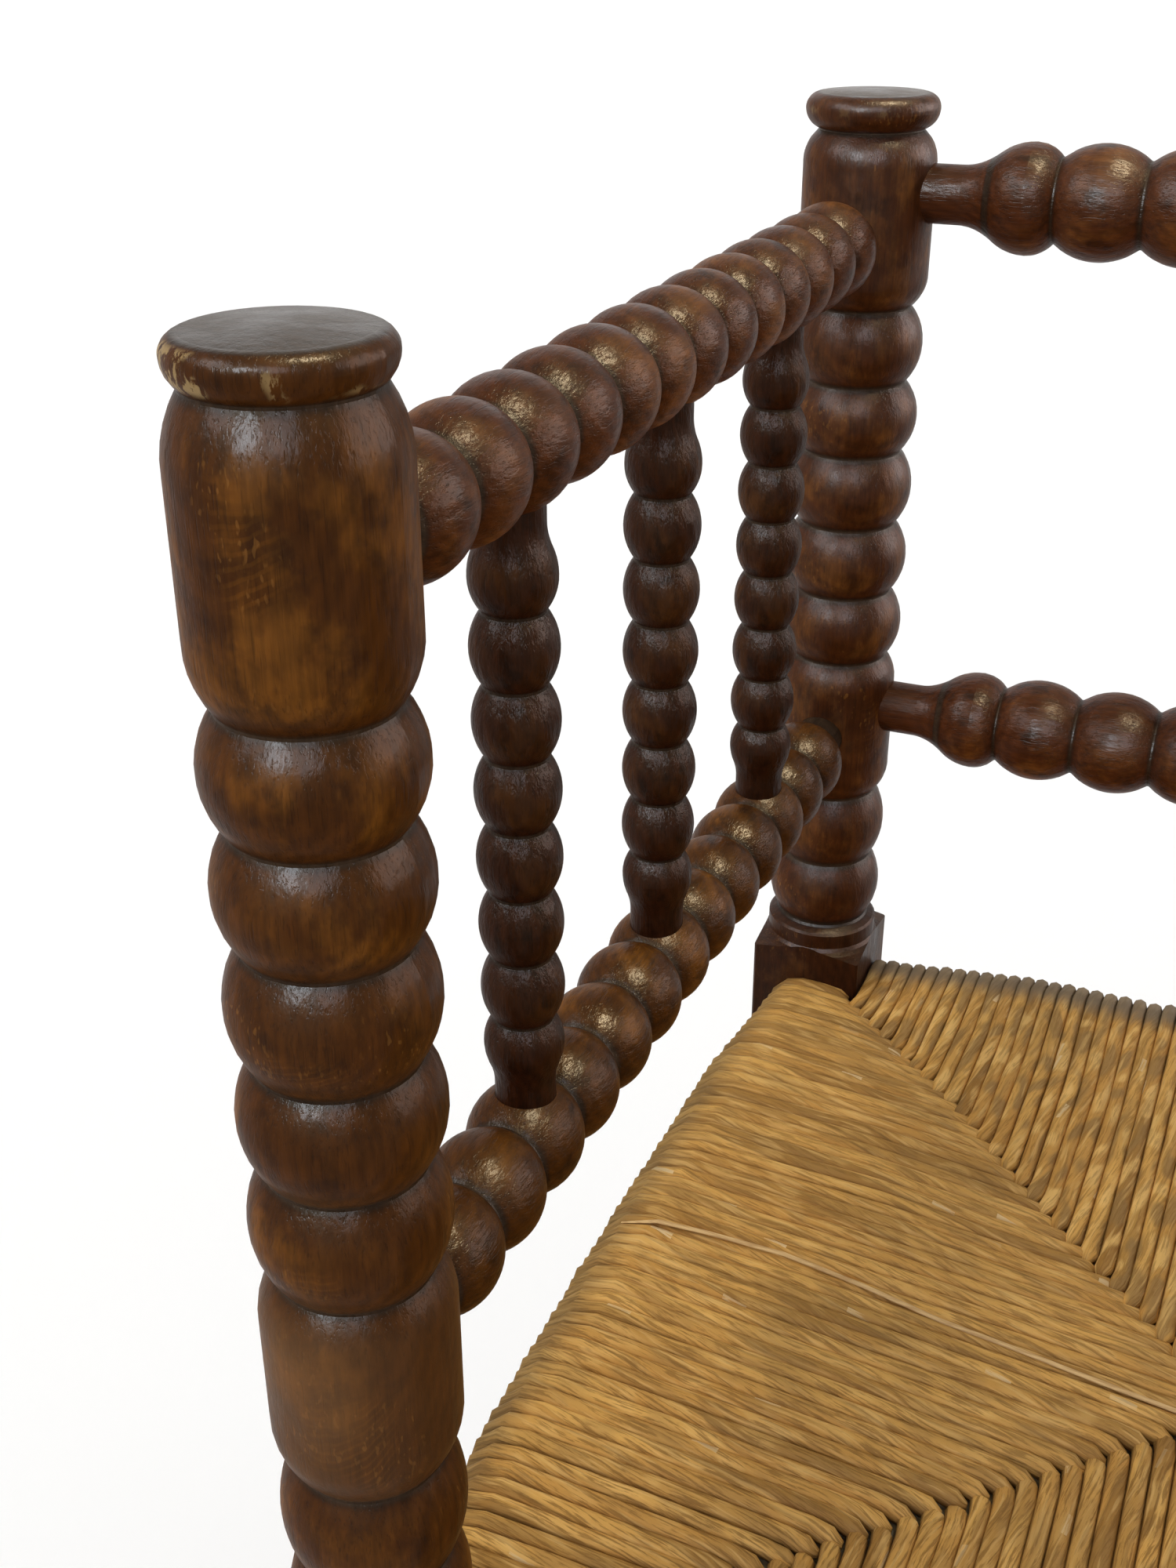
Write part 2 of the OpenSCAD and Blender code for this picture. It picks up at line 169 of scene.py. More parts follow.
def stretched(tree, place, scale, location=(0, 0, 0), rotation=(0, 0, 0)):
    inputs = {"Vector": place, "Scale": scale, "Location": location, "Rotation": rotation}
    return add(tree, "Mapping", inputs).outputs[0]


def bumped(tree, height, strength, distance):
    return add(tree, "Bump", {"Height": height, "Strength": strength, "Distance": distance})


# How far a place lies outside a band along the piece
def off_band(tree, along, band):
    off = reckon(tree, "ABSOLUTE", reckon(tree, "SUBTRACT", along, (band[0] + band[1]) / 2))
    return reckon(tree, "SUBTRACT", off, (band[1] - band[0]) / 2)


# 1 for what is seen, also in a gloss or through glass, and 0 for what only lights the bench
def seen_share(tree):
    path = add(tree, "LightPath").outputs
    seen = reckon(tree, "MAXIMUM", path["Is Camera Ray"], path["Is Glossy Ray"])
    return reckon(tree, "MAXIMUM", seen, path["Is Transmission Ray"])


# A place in metres from the centre of a piece, whose axis is turned to lie along Z
def place_on_piece(tree, centre, turn):
    here = {"Vector": add(tree, "TexCoord").outputs["Object"], "Location": centre, "Rotation": turn}
    return add(tree, "Mapping", here, vector_type="TEXTURE").outputs[0]


def start_finish(name):
    finish = bpy.data.materials.new(name)
    finish.use_nodes = True
    tree = finish.node_tree
    tree.nodes.clear()
    shader = add(tree, "BsdfPrincipled")
    add(tree, "OutputMaterial", {"Surface": shader.outputs["BSDF"]})
    return finish, tree, shader


def colour(red, green, blue):
    return (red, green, blue, 1.0)


# Light: a pale even room that shows as white, a window, a softer lamp behind, and lamps for the sheens
world = bpy.data.worlds.new("studio")
bpy.context.scene.world = world
world.use_nodes = True
world_tree = world.node_tree
world_tree.nodes.clear()
lit = add(world_tree, "Background", {"Color": colour(1, 1, 1), "Strength": 0.68})
shown = add(world_tree, "Background", {"Color": colour(1, 1, 1), "Strength": 1.0})
room = add(world_tree, "MixShader", {0: seen_share(world_tree), 1: lit.outputs[0], 2: shown.outputs[0]})
add(world_tree, "OutputWorld", {"Surface": room.outputs[0]})


def soft_sun(name, towards, strength, angle, tint):
    lamp = bpy.data.lights.new(name, "SUN")
    lamp.energy = strength
    lamp.angle = math.radians(angle)
    lamp.color = tint
    sun = bpy.data.objects.new(name, lamp)
    bpy.context.scene.collection.objects.link(sun)
    sun.rotation_euler = Vector(towards).to_track_quat("Z", "Y").to_euler()
    return sun


# A lamp that only shows as a sheen on polished surfaces. glow is its brightness, where the backdrop is 1
def sheen_light(name, turn, rise, width, glow, tint):
    around, above = math.radians(turn), math.radians(rise)
    towards = (math.cos(around) * math.cos(above), math.sin(around) * math.cos(above), math.sin(above))
    strength = glow * math.pi * math.sin(math.radians(width / 2)) ** 2
    soft_sun(name, towards, strength, width, tint).visible_diffuse = False


soft_sun("window_light", (-0.592, -0.344, 0.730), 1.1, 24, (1.0, 0.98, 0.95))
soft_sun("back_light", (-0.356, 0.817, 0.52), 0.5, 50, (0.95, 0.97, 1.0))
sheen_light("front_sheen_left", -134, 37, 30, 24.0, (0.74, 0.85, 1.0))
sheen_light("front_sheen", -98, 28, 22, 100.0, (0.74, 0.86, 1.0))
sheen_light("front_sheen_right", -66, 31, 32, 24.0, (0.72, 0.82, 1.0))
sheen_light("side_sheen", 26, 12, 50, 15.0, (0.95, 0.88, 0.88))
sheen_light("ceiling_sheen", -6, 70, 21, 190.0, (1.0, 0.84, 0.56))

# Floor: a wide sheet that shows white and still takes the shadow
FLOOR_SIZE = 120
bpy.ops.mesh.primitive_plane_add(size=1, location=(0, 0, 0))
floor = bpy.context.object
floor.name = "floor"
bpy.ops.object.mode_set(mode="EDIT")
bpy.ops.transform.resize(value=(FLOOR_SIZE, FLOOR_SIZE, 1))
bpy.ops.object.mode_set(mode="OBJECT")
floor_finish, floor_tree, floor_shader = start_finish("pale_floor")
unseen_grey, seen_white = colour(0.62, 0.62, 0.62), colour(0.985, 0.985, 0.985)
floor_colour = blended(floor_tree, seen_share(floor_tree), unseen_grey, seen_white)
feed(floor_tree, floor_shader, {"Base Color": floor_colour, "Roughness": 0.9, "Specular IOR Level": 0.1})
floor.data.materials.append(floor_finish)

# The growth of the wood, in metres: the width of a yearly ring and of one arch in its figure, and how far
# the rings sway. RING_CLIMB is how far they shift in each metre along the piece
RING_W = 0.0034
ARCH_W = 0.00085
RING_SWAY = 0.0030
RING_CLIMB = 0.34

# Heights on a post of its square seat block, and of the stretch over which the dust and painted underlight
# below its balls end
SEAT_BLOCK = (0.374, 0.4573)
DUST_AND_UNDERLIGHT_END = (0.60, 0.70)

# The plain ends of a member are stained as this height of a ball is
PLAIN_HEIGHT = 0.42

# How steeply a post's cap is domed, for its gloss alone
CAP_DOME = 4.2


# One kind of turned member. groove and crown are its radii, tone is how light the stain is, red how red it
# is, rugged how knocked the surface is and dull how matt the wax. row is the stretch of the axis that has
# balls, cap the height of a post's cap and the radius of its rim, and worn_block a block that is worn pale
def member_kind(groove, crown, tone, red, rugged, dull, row=None, cap=None, worn_block=None):
    return SimpleNamespace(
        groove=groove, crown=crown, tone=tone, red=red, rugged=rugged, dull=dull,
        row=row, cap=cap, worn_block=worn_block)


# Where a point lies on a turned member: its height is 0 in a groove and 1 on a crown
def turned_spot(tree, centre, turn, kind):
    place = place_on_piece(tree, centre, turn)
    x, y, along = split(tree, place)
    across = vector(tree, x, y)
    radius = length_of(tree, across)
    height = span(tree, radius, kind.groove, kind.crown, ease="LINEAR")
    if kind.row:
        plain = span(tree, off_band(tree, along, kind.row), 0.002, 0.004, 0.0, PLAIN_HEIGHT)
        height = reckon(tree, "MAXIMUM", height, plain)
    return SimpleNamespace(place=place, along=along, across=across, radius=radius, height=height)


# The patterns in the wood there. The pith of the tree lies beside the member and tilts against it, and the
# rings about it show as nested arches where the surface runs along them
def grain_patterns(tree, spot, kind, pith, tilt):
    x, y = split(tree, stretched(tree, spot.place, (1, 1, 1), pith, tilt))[:2]
    from_pith = length_of(tree, vector(tree, x, y))
    sway = noise(tree, stretched(tree, spot.place, (1, 1, 0.4), pith), 60.0, 2.0)
    depth = plus_share(tree, plus_share(tree, from_pith, RING_CLIMB, spot.along), RING_SWAY, sway)
    reach = math.hypot(pith[0], pith[1])
    away = {0: spot.across, 1: (pith[0] / reach, pith[1] / reach, 0.0)}
    off_axis = add(tree, "VectorMath", away, operation="DOT_PRODUCT").outputs["Value"]
    streak_place = stretched(tree, spot.place, (1, 1, 0.06), pith)
    return SimpleNamespace(
        rings=wave(tree, depth, RING_W),
        arches=wave(tree, depth, ARCH_W),
        arch_side=span(tree, off_axis, 0.84 * kind.crown, 0.97 * kind.crown),
        streaks=noise(tree, streak_place, 620.0, 4.0, 0.62),
        pores=span(tree, noise(tree, streak_place, 1900.0, 2.0, 0.5), 0.56, 0.70),
        blotches=noise(tree, stretched(tree, spot.place, (1, 1, 0.7), pith), 75.0, 4.0, 0.6),
        broad=noise(tree, stretched(tree, spot.place, (1, 1, 0.6), pith), 22.0, 2.0),
        stains=noise(tree, stretched(tree, spot.place, (1, 1, 0.8)), 120.0, 4.0, 0.65),
        patches=noise(tree, stretched(tree, spot.place, (1, 1, 0.8), pith), 34.0, 1.0),
        knocks=noise(tree, stretched(tree, spot.place, (1, 1, 0.4), pith), 240.0, 4.0, 0.60))


# Short pale ticks that lie in clusters on the crowns
def ticked(tree, spot, grain, base):
    tick_place = stretched(tree, spot.place, (1, 1, 0.4), (0.05, 0.02, 0.0), (0.0, 0.3, 0.0))
    ticks = span(tree, noise(tree, tick_place, 900.0, 1.0), 0.62, 0.70)
    clusters = span(tree, grain.patches, 0.52, 0.64, 0.0, 0.40)
    share = times(tree, ticks, clusters, span(tree, spot.height, 0.50, 0.85))
    return blended(tree, share, base, colour(0.24, 0.100, 0.020))


# The stain: near black in the grooves, partly stain gathered there and partly painted shade of the recess,
# and dusty there; rubbed golden on the crowns, and dark on a seat block
def stain_colour(tree, spot, grain, kind):
    tone, red = kind.tone, kind.red
    dark = colour(0.0085 * tone, 0.0034 * tone, 0.0020 * tone)
    middle = colour((0.056 + 0.020 * red) * tone, 0.0182 * tone, (0.0014 + 0.0050 * red) * tone)
    golden = colour(0.142 * tone, (0.050 - 0.004 * red) * tone, (0.0036 + 0.009 * red) * tone)
    arch_depth, stain_depth = (0.40, 0.40) if kind.cap else (0.15, 0.62)

    # Darker towards the grooves: partly stain, partly painted shade of the recesses between the balls
    base = blended(tree, span(tree, spot.height, -0.02, 0.30), dark, middle)
    rubbed = times(
        tree, span(tree, grain.blotches, 0.42, 0.66), span(tree, spot.height, 0.30, 0.9),
        span(tree, grain.broad, 0.38, 0.58, 0.15, 1.0))
    base = blended(tree, rubbed, base, golden)
    arches = times(
        tree, span(tree, grain.arches, 0.0, 0.9), span(tree, grain.patches, 0.52, 0.64, 0.0, arch_depth),
        grain.arch_side, span(tree, spot.height, 0.5, 1.0))
    base = blended(tree, arches, base, golden)
    base = blended(tree, span(tree, grain.stains, 0.50, 0.70, 0.0, stain_depth), base, dark)
    in_groove = span(tree, spot.height, 0.0, 0.20, 0.75, 0.0)
    dust = times(tree, in_groove, span(tree, grain.broad, 0.3, 0.6, 0.5, 1.0))
    base = blended(tree, dust, base, colour(0.054, 0.031, 0.017))
    if kind.cap:
        base = ticked(tree, spot, grain, base)

    rings = span(tree, grain.rings, -1.0, 1.0, 0.90, 1.08)
    streaks = span(tree, grain.streaks, 0.32, 0.68, 0.80, 1.20)
    figure = times(tree, rings, streaks, span(tree, grain.pores, 0.0, 1.0, 1.0, 0.74))
    if kind.cap:
        off_block = off_band(tree, spot.along, SEAT_BLOCK)
        figure = times(tree, figure, span(tree, off_block, -0.001, 0.003, 0.60, 1.0))
    tint = add(tree, "CombineColor", {0: figure, 1: figure, 2: figure}).outputs[0]
    return blended(tree, 1.0, base, tint, "MULTIPLY")


# Bare wood that shows in streaks on the rim of a post's cap
def worn_rim(tree, spot, rim, on_cap, base):
    scuff_place = stretched(tree, spot.place, (1, 1, 0.45), (0.11, 0.07, 0.0))
    scuffs = span(tree, noise(tree, scuff_place, 520.0, 4.0, 0.65), 0.47, 0.55)
    lifted = span(tree, noise(tree, spot.place, 95.0, 1.0), 0.48, 0.58)
    outside = span(tree, spot.radius, rim - 0.0020, rim - 0.0008)
    worn = times(tree, scuffs, lifted, outside, on_cap, 0.75)
    return blended(tree, worn, base, colour(0.40, 0.27, 0.115))


# The flat top of a cap is glossier than the rest of a post, and slightly domed, which only its gloss shows
def glossy_top(tree, spot, kind, on_cap, gloss):
    flat_r = kind.groove - 0.001
    top_r = reckon(tree, "MINIMUM", spot.radius, flat_r)
    dome = times(tree, reckon(tree, "POWER", top_r, 2.0), -CAP_DOME)
    on_top = span(tree, spot.radius, flat_r, kind.groove + 0.0015, 0.08, 0.0)
    gloss = reckon(tree, "ADD", times(tree, on_cap, on_top), gloss)
    return gloss, bumped(tree, dome, 1.0, 1.0).outputs[0]


# The lower part of a front post: dust and painted light on the undersides of its balls, where they face down,
# and a block whose wax is worn to a pale film
def worn_low_post(tree, spot, grain, block, base, polish):
    # Lighter where the surface faces down: dust, and painted light that stands in for light from below
    upward = split(tree, add(tree, "NewGeometry").outputs["Normal"])[2]
    under = span(tree, upward, -0.85, -0.25, 0.62, 0.0)
    low = span(tree, spot.along, DUST_AND_UNDERLIGHT_END[0], DUST_AND_UNDERLIGHT_END[1], 1.0, 0.0)
    dust_and_painted_underlight = times(tree, under, low, span(tree, grain.broad, 0.36, 0.58, 0.5, 1.0))
    base = blended(tree, dust_and_painted_underlight, base, colour(0.17, 0.108, 0.060))
    film = span(tree, off_band(tree, spot.along, block), -0.010, 0.002, 1.0, 0.0)
    polish = plus_share(tree, polish, 0.14, film)
    worn = times(tree, film, span(tree, grain.broad, 0.36, 0.60, 0.16, 0.50))
    return blended(tree, worn, base, colour(0.17, 0.086, 0.036)), polish


# Open pores, knocks and the slow unevenness of hand turning
def wood_relief(tree, grain, rugged):
    relief = times(tree, reckon(tree, "SUBTRACT", grain.streaks, grain.pores), 0.16 + 0.3 * rugged)
    relief = plus_share(tree, relief, 1.0 + 3.2 * rugged, grain.knocks)
    relief = plus_share(tree, relief, 3.0, grain.broad)
    relief = plus_share(tree, relief, 1.8, grain.blotches)
    return bumped(tree, relief, 0.4, 0.0005)


# Stained and waxed wood of a member that is turned about the axis through centre
def stained_wood(name, centre, turn, kind, pith, tilt):
    finish, tree, shader = start_finish(name)
    spot = turned_spot(tree, centre, turn, kind)
    grain = grain_patterns(tree, spot, kind, pith, tilt)
    base = stain_colour(tree, spot, grain, kind)
    dull = kind.dull
    gloss = 0.03 + 0.06 * dull
    polish = span(tree, grain.blotches, 0.32, 0.68, 0.14 + 0.14 * dull, 0.26 + 0.14 * dull)
    bump = wood_relief(tree, grain, kind.rugged)
    if kind.cap:
        cap_foot, rim = kind.cap
        on_cap = span(tree, spot.along, cap_foot, cap_foot + 0.001)
        base = worn_rim(tree, spot, rim, on_cap, base)
        gloss, domed = glossy_top(tree, spot, kind, on_cap, gloss)
        feed(tree, bump, {"Normal": domed})
    if kind.worn_block:
        base, polish = worn_low_post(tree, spot, grain, kind.worn_block, base, polish)
    feed(tree, shader, {
        "Base Color": base,
        "Roughness": span(tree, grain.blotches, 0.3, 0.7, 0.36, 0.50),
        "Specular IOR Level": gloss,
        "Specular Tint": colour(1.0, 0.80 + 0.16 * dull, 0.50 + 0.50 * dull),
        "Coat Weight": 0.055 - 0.018 * dull,
        "Coat Roughness": polish,
        "Normal": bump.outputs[0],
        "Coat Normal": bump.outputs[0],
    })
    return finish


def finish_node(name, finish):
    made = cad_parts[name]
    for holder in made.material_slots:
        holder.material = finish


ALONG_X = (0.0, math.radians(90), 0.0)
ALONG_Y = (math.radians(-90), 0.0, 0.0)
UPRIGHT = (0.0, 0.0, 0.0)


# Gives a member its wood, from its own place in the tree. At the front of the bench the arches face forwards
def dress(name, turn, kind):
    centre = member_centre(name)
    if turn == UPRIGHT:
        centre.z = 0.0
    seed = sum((k + 3) * ord(letter) for k, letter in enumerate(name))
    way = math.radians(-70) if name.startswith("front") else math.radians(seed * 37 % 360)
    reach = 0.026 + 0.002 * (seed % 7)
    pith = (reach * math.cos(way), reach * math.sin(way), 0.13 * (seed % 11))
    tilt = (math.radians(1.0 + 0.3 * (seed % 5)), math.radians(-1.2 + 0.4 * (seed % 4)), 0.0)
    finish_node(name, stained_wood(name + "_wood", centre, turn, kind, pith, tilt))


FRONT_POST = member_kind(
    0.0181, 0.0226, 1.0, 0.22, 0.1, 0.0, cap=(0.7695, 0.02075), worn_block=(0.5175, 0.5737))
REAR_POST = member_kind(0.0184, 0.0232, 0.84, 0.5, 0.15, 0.4, cap=(0.7694, 0.02470))
ARM_TOP_RAIL = member_kind(0.0116, 0.0160, 1.0, 0.55, 0.5, 0.12)
ARM_LOWER_RAIL = member_kind(0.0114, 0.0160, 1.02, 0.15, 0.6, 0.1)
ARM_SPINDLE = member_kind(0.0078, 0.0109, 0.40, 0.65, 1.0, 0.1, row=(0.5836, 0.6961))
BACK_RAIL = member_kind(0.0138, 0.0192, 1.06, 0.6, 0.5, 0.25, row=(-0.4414, 0.4414))
BACK_SPINDLE = member_kind(0.0078, 0.0109, 0.50, 0.65, 1.1, 0.0, row=(0.5946, 0.7071))
STRETCHER = member_kind(0.0110, 0.0160, 1.0, 0.3, 0.4, 0.2)

for end in ("left", "right"):
    dress("front_" + end + "_post", UPRIGHT, FRONT_POST)
    dress("rear_" + end + "_post", UPRIGHT, REAR_POST)
    dress(end + "_arm_top_rail", ALONG_Y, ARM_TOP_RAIL)
    dress(end + "_arm_lower_rail", ALONG_Y, ARM_LOWER_RAIL)
    dress(end + "_upper_stretcher", ALONG_Y, STRETCHER)
    dress(end + "_lower_stretcher", ALONG_Y, STRETCHER)
    for count in (1, 2, 3):
        dress(end + "_arm_spindle_" + str(count), UPRIGHT, ARM_SPINDLE)
for name in ("front_upper_stretcher", "front_lower_stretcher", "back_stretcher"):
    dress(name, ALONG_X, STRETCHER)
for name in ("back_top_rail", "back_lower_rail"):
    dress(name, ALONG_X, BACK_RAIL)
for count in range(1, 8):
    dress("back_spindle_" + str(count), UPRIGHT, BACK_SPINDLE)


# Bare wood of the seat rails
def bare_wood(name, centre, turn):
    finish, tree, shader = start_finish(name)
    place = place_on_piece(tree, centre, turn)
    grain = noise(tree, stretched(tree, place, (1, 1, 0.05)), 500.0, 4.0, 0.6)
    patches = noise(tree, place, 30.0, 2.0)
    base = blended(tree, span(tree, grain, 0.3, 0.7), colour(0.30, 0.19, 0.10), colour(0.50, 0.34, 0.19))
    base = blended(tree, span(tree, patches, 0.4, 0.7, 0.0, 0.4), base, colour(0.26, 0.17, 0.09))
    feed(tree, shader, {
        "Base Color": base,
        "Roughness": span(tree, grain, 0.3, 0.7, 0.62, 0.78),
        "Normal": bumped(tree, grain, 0.4, 0.0003).outputs[0],
    })
    return finish


for name, turn in (("front_seat_rail", ALONG_X), ("back_seat_rail", ALONG_X),
                   ("left_seat_rail", ALONG_Y), ("right_seat_rail", ALONG_Y)):
    finish_node(name, bare_wood(name + "_wood", member_centre(name), turn))

# Two kinds of rush cord. lay is the length of one turn of the twist, in metres. strokes is how strongly
# light and dark strokes show, and gap_depth how dark it is between the cords. The outside of the rolls is
# greyed, by grey_share, from the distance grey_from outside the line of the posts: with age, and on the back
# roll, where it starts further in and goes darker, also as painted shade of its far side
RUSH_CORD = SimpleNamespace(
    lay=0.110, strokes=0.28, gap_depth=0.60,
    grey_from=0.0, grey_share=0.62, grey=colour(0.120, 0.082, 0.040))
# On the back roll the grey is partly painted shade of the roll's far side
BACK_RUSH_CORD = SimpleNamespace(
    lay=0.110, strokes=0.72, gap_depth=0.12,
    grey_from=-0.015, grey_share=0.88, grey=colour(0.170, 0.128, 0.082))

# Leaves in one cord, side by side, and the width of the stretch over which the grey sets in
LEAVES = 2.0
GREY_WIDTH = 0.014


# Where a point lies on a cord. In the map, U counts the cords and goes once round each, and V is the length
# along it. lead counts the leaves, which wind round the cord, and edge is 1 where two of them meet
def cord_spot(tree, lay):
    u, v = split(tree, add(tree, "UVMap", uv_map="cord").outputs[0])[:2]
    around = reckon(tree, "FRACT", u)
    cord = reckon(tree, "FLOOR", u)
    wander = noise(tree, vector(tree, times(tree, v, 20.0), cord), 1.0, 1.0)
    lead = plus_share(tree, around, 1.0 / lay, v)
    lead = times(tree, plus_share(tree, lead, 0.65, wander), LEAVES)
    off_middle = reckon(tree, "ABSOLUTE", reckon(tree, "SUBTRACT", reckon(tree, "FRACT", lead), 0.5))
    place = add(tree, "TexCoord").outputs["Object"]
    return SimpleNamespace(
        around=around, cord=cord, run=v, lead=lead, edge=times(tree, off_middle, 2.0), place=place)


# A place for a noise that follows the leaves, stretched across and along them
def leaf_place(tree, spot, across, along):
    return vector(tree, times(tree, spot.lead, across), times(tree, spot.run, along), spot.cord)


# Straw-coloured leaves with tan and brown ones between them, light and dark strokes, fibres and pale flecks
def leaf_colour(tree, spot, fibres, strokes):
    brown = colour(0.22, 0.105, 0.024)
    leaf = vector(tree, reckon(tree, "FLOOR", spot.lead), spot.cord)
    shade = add(tree, "SeparateColor", {0: white_noise(tree, leaf)["Color"]}).outputs
    tan, straw = colour(0.55, 0.285, 0.068), colour(0.68, 0.380, 0.098)
    base = blended(tree, span(tree, shade[0], 0.05, 0.95), tan, straw)
    base = blended(tree, span(tree, shade[1], 0.62, 0.95, 0.0, 0.6), base, brown)

    dash = noise(tree, leaf_place(tree, spot, 1.1, 48.0), 1.0, 1.0)
    base = blended(tree, span(tree, dash, 0.38, 0.50, strokes, 0.0), base, colour(0.27, 0.160, 0.058))
    base = blended(tree, span(tree, dash, 0.54, 0.64, 0.0, strokes), base, colour(0.86, 0.54, 0.18))

    # The front of the seat is crisper than the back
    crispness = span(tree, split(tree, spot.place)[1], -0.12, 0.12, 0.74, 0.46)
    base = blended(tree, times(tree, span(tree, fibres, 0.47, 0.60), crispness), base, brown)
    ribbons = noise(tree, leaf_place(tree, spot, 3.2, 27.0), 1.7, 2.0, 0.5)
    base = blended(tree, span(tree, ribbons, 0.54, 0.68, 0.0, 0.50), base, colour(0.78, 0.49, 0.17))
    soiled = noise(tree, spot.place, 16.0, 3.0, 0.6)
    base = blended(tree, span(tree, soiled, 0.50, 0.72, 0.0, 0.34), base, colour(0.28, 0.160, 0.048))

    fleck_across = reckon(tree, "FLOOR", times(tree, spot.lead, 5.0))
    fleck_along = reckon(tree, "FLOOR", times(tree, spot.run, 120.0))
    fleck = white_noise(tree, vector(tree, fleck_across, fleck_along, spot.cord))["Value"]
    pale = times(tree, span(tree, fleck, 0.993, 0.998), span(tree, fibres, 0.40, 0.52, 0.0, 0.7))
    return blended(tree, pale, base, colour(0.82, 0.62, 0.34))


# Shade between the cords, and in the grooves of their twist
def shaded_gaps(tree, spot, gap_depth, base):
    patches = noise(tree, vector(tree, times(tree, spot.run, 42.0), spot.cord), 1.0, 2.0)
    side = reckon(tree, "ABSOLUTE", reckon(tree, "SUBTRACT", spot.around, 0.5))
    gap_share = span(tree, patches, 0.36, 0.60, 0.36 * gap_depth, 0.95 * gap_depth)
    gap = times(tree, span(tree, side, 0.14, 0.24), gap_share)
    base = blended(tree, gap, base, colour(0.110, 0.058, 0.019))
    twist_share = span(tree, patches, 0.40, 0.62, 0.55 * gap_depth, 0.10)
    twist = times(tree, span(tree, spot.edge, 0.80, 1.0), twist_share)
    return blended(tree, twist, base, colour(0.10, 0.052, 0.018))


# Greys the outside of the rolls: age, and on the back roll also painted shade of its far side
def greyed_outside(tree, place, kind, base):
    x, y = split(tree, place)[:2]
    out_x = reckon(tree, "SUBTRACT", reckon(tree, "ABSOLUTE", x), HALF_W)
    out_y = reckon(tree, "SUBTRACT", reckon(tree, "ABSOLUTE", y), HALF_D)
    out = reckon(tree, "MAXIMUM", out_x, out_y)
    share = span(tree, out, kind.grey_from, kind.grey_from + GREY_WIDTH, 0.0, kind.grey_share)
    return blended(tree, share, base, kind.grey)


def rush_cord_finish(name, kind):
    finish, tree, shader = start_finish(name)
    spot = cord_spot(tree, kind.lay)
    fibres = noise(tree, leaf_place(tree, spot, 3.2, 27.0), 3.2, 4.0, 0.65)
    base = leaf_colour(tree, spot, fibres, kind.strokes)
    base = shaded_gaps(tree, spot, kind.gap_depth, base)
    base = greyed_outside(tree, spot.place, kind, base)
    swell = reckon(tree, "SUBTRACT", 1.0, reckon(tree, "POWER", spot.edge, 2.0))
    relief = plus_share(tree, times(tree, swell, 0.6), 0.9, fibres)
    feed(tree, shader, {
        "Base Color": base,
        "Roughness": span(tree, fibres, 0.3, 0.7, 0.50, 0.68),
        "Specular IOR Level": 0.03,
        "Specular Tint": colour(1.0, 0.86, 0.70),
        "Normal": bumped(tree, relief, 0.6, 0.0010).outputs[0],
    })
    return finish


rush_finish = rush_cord_finish("rush_cord", RUSH_CORD)
back_rush_finish = rush_cord_finish("back_rush_cord", BACK_RUSH_CORD)

# The master cord, about a rail along Y: over the top, round the rail and back underneath. RUN is its straight
# part before it is fitted, TIP the tapered end and END_STEP the last part of that
RUN = 0.180
TIP = 0.010
END_STEP = 0.0035
CORD_LEVEL = ROLL_R - CORD_R - 0.0001

# Sizes of its rings, each as a share of the one before, from the upper tip and to the lower one
TIP_SIZE = 0.42
AFTER_TIP = 2.62
AFTER_BULGE = 0.91
BEFORE_TIP = 1.05

# Points in a ring, after the lowest of the circle's 8 is dissolved, and the ring that lies over the rail
SIDES = 7
RAIL_RING = 4


def pick_points(made, wanted):
    bpy.ops.object.mode_set(mode="EDIT")
    bpy.ops.mesh.select_mode(type="VERT")
    bpy.ops.mesh.select_all(action="DESELECT")
    bpy.ops.object.mode_set(mode="OBJECT")
    for v in made.data.vertices:
        v.select = wanted(v.co)
    bpy.ops.object.mode_set(mode="EDIT")


def resized(size):
    bpy.ops.transform.resize(value=(size, size, size))


def onward(step, size=None):
    bpy.ops.mesh.extrude_region_move(TRANSFORM_OT_translate={"value": (step, 0, 0)})
    if size:
        resized(size)


def cord_master():
    nothing_selected()
    quarter = math.radians(90)
    bpy.ops.mesh.primitive_circle_add(
        vertices=SIDES + 1, radius=CORD_R, fill_type="NGON",
        location=(RUN + TIP, 0, CORD_LEVEL), rotation=(0, quarter, 0))
    made = bpy.context.object
    bpy.ops.object.transform_apply(location=True, rotation=True, scale=True)
    lowest = min(v.co.z for v in made.data.vertices)
    pick_points(made, lambda point: point.z < lowest + 0.0001)
    bpy.ops.mesh.dissolve_verts()
    bpy.ops.mesh.select_all(action="SELECT")
    resized(TIP_SIZE)
    onward(-END_STEP, AFTER_TIP)
    onward(END_STEP - TIP, AFTER_BULGE)
    onward(-RUN / 2)
    onward(-RUN / 2)
    bpy.ops.mesh.spin(steps=6, angle=2 * quarter, center=(0, 0, 0), axis=(0, 1, 0))
    onward(RUN + TIP - END_STEP, BEFORE_TIP)
    onward(END_STEP, TIP_SIZE)
    bpy.ops.mesh.select_all(action="SELECT")
    bpy.ops.mesh.normals_make_consistent(inside=False)
    bpy.ops.object.mode_set(mode="OBJECT")
    made.name = "cord_master"
    return made


def points_of(mesh):
    flat = np.zeros(len(mesh.vertices) * 3)
    mesh.vertices.foreach_get("co", flat)
    return flat.reshape(-1, 3)


def sag_at(inset):
    share = np.clip(inset / HALF_D, 0, 1)
    return SEAT_SAG * (1 - np.cos(np.pi * share)) / 2


